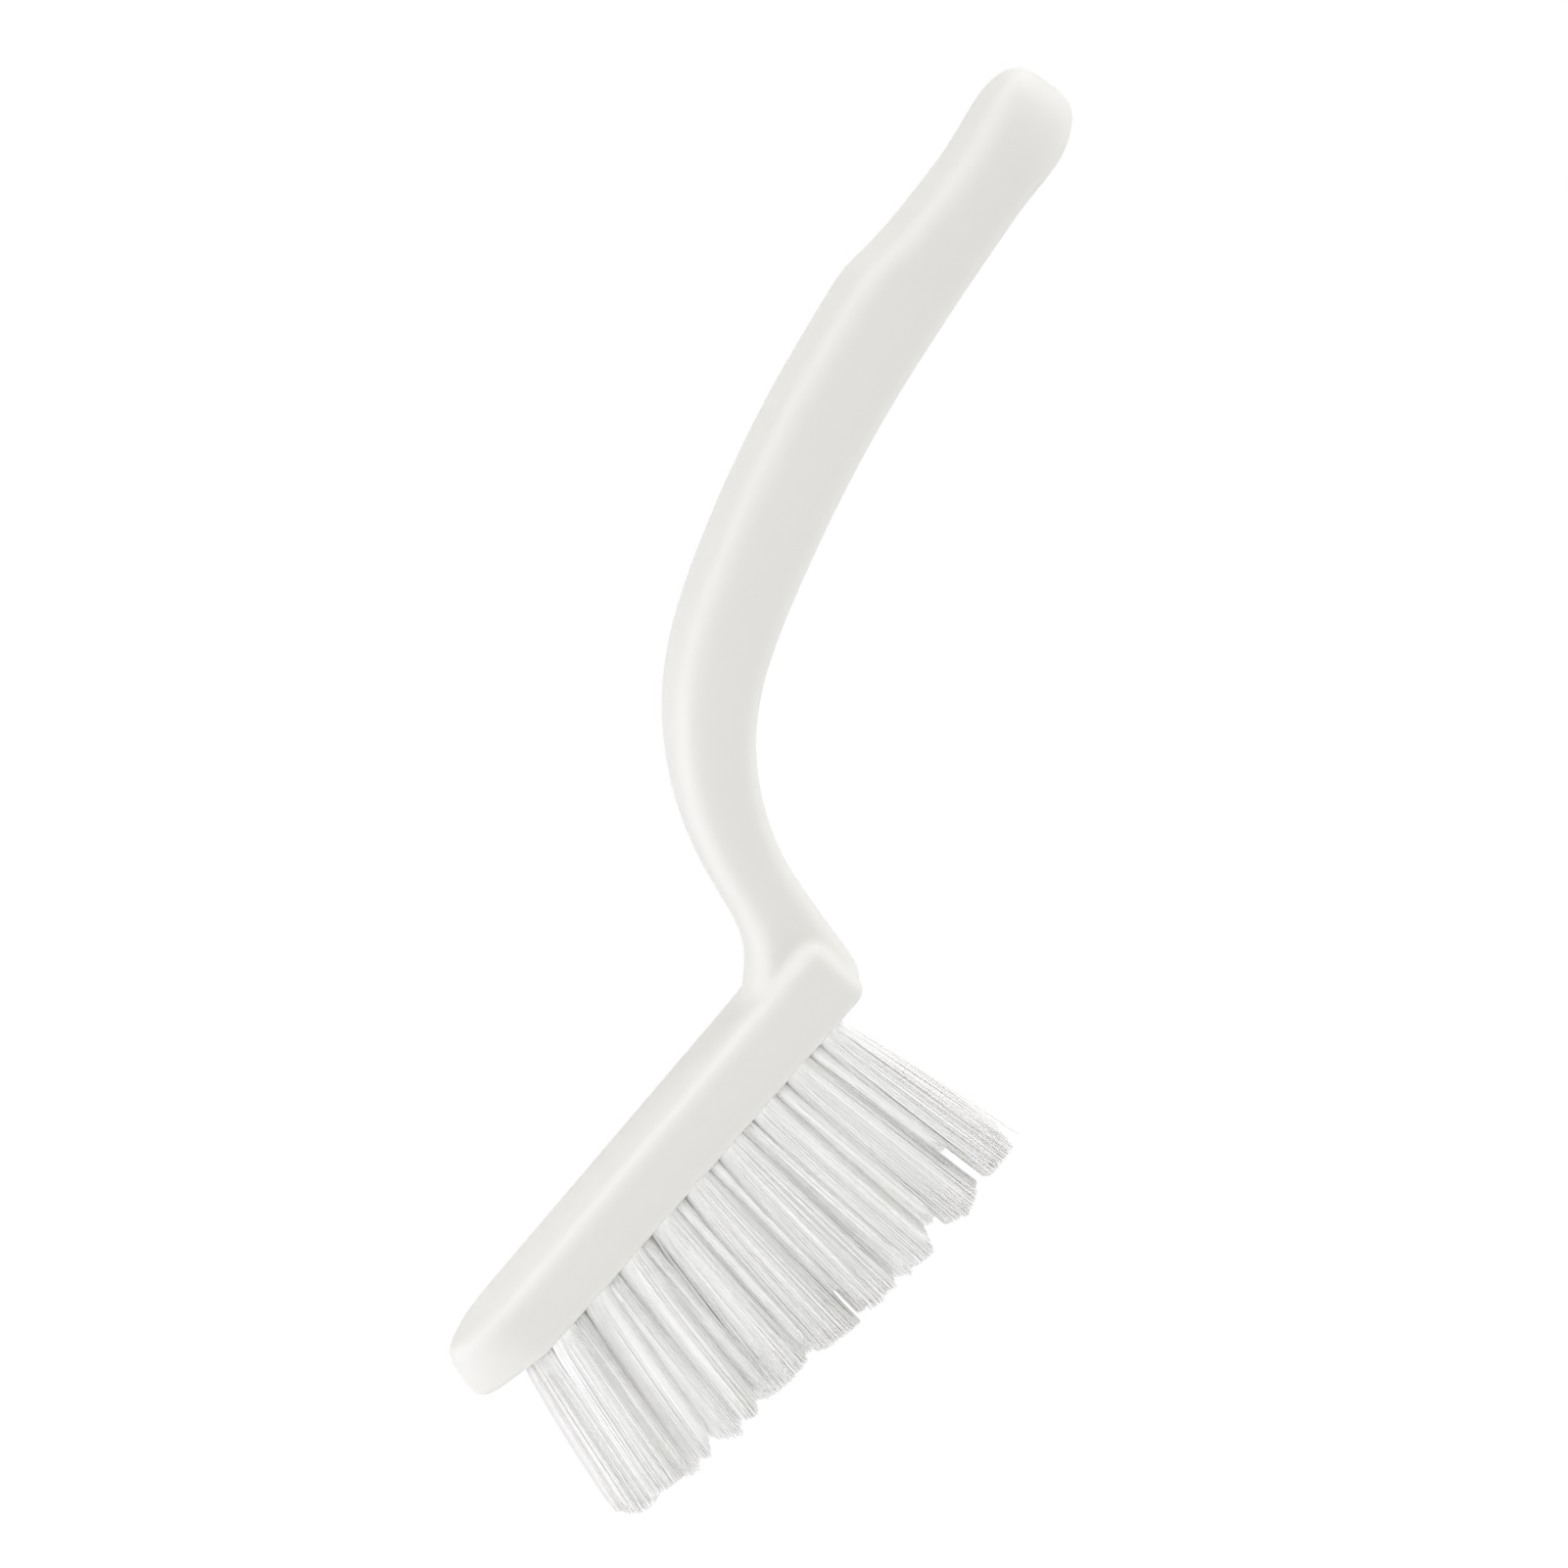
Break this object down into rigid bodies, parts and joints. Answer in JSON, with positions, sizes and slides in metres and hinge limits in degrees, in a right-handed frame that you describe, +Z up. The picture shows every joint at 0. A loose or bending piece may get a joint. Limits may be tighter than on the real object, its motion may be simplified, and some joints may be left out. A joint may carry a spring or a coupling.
{
  "type": "crevice brush",
  "caption": "Narrow scrubbing brush with a one-piece cranked plastic handle and a slim round-nosed head that carries a fan of white bristle tufts in a zigzag.",
  "frame": {"origin": "middle of the head's lower side face, with the brush lying on its side as in the picture", "axes": "+X along the head from toe to heel and on toward the handle's end, +Y out of the head's back, -Y along the bristles, +Z up across the width of the head"},
  "size_m": [0.2245, 0.1215, 0.016],
  "materials": {
    "body_plastic": "satin moulded",
    "filament": "satin filament",
    "anchor_metal": "plain strip"
  },
  "bodies": {
    "root": {"body": "body_plastic", "tuft_01": "filament", "tuft_02": "filament", "tuft_03": "filament", "tuft_04": "filament", "tuft_05": "filament", "tuft_06": "filament", "tuft_07": "filament", "tuft_08": "filament", "tuft_09": "filament", "tuft_10": "filament", "tuft_11": "filament", "tuft_12": "filament", "tuft_13": "filament", "tuft_14": "filament", "tuft_15": "filament", "tuft_16": "filament", "tuft_17": "filament", "tuft_18": "filament", "anchor_01": "anchor_metal", "anchor_02": "anchor_metal", "anchor_03": "anchor_metal", "anchor_04": "anchor_metal", "anchor_05": "anchor_metal", "anchor_06": "anchor_metal", "anchor_07": "anchor_metal", "anchor_08": "anchor_metal", "anchor_09": "anchor_metal", "anchor_10": "anchor_metal", "anchor_11": "anchor_metal", "anchor_12": "anchor_metal", "anchor_13": "anchor_metal", "anchor_14": "anchor_metal", "anchor_15": "anchor_metal", "anchor_16": "anchor_metal", "anchor_17": "anchor_metal", "anchor_18": "anchor_metal"}
  },
  "joints": []
}
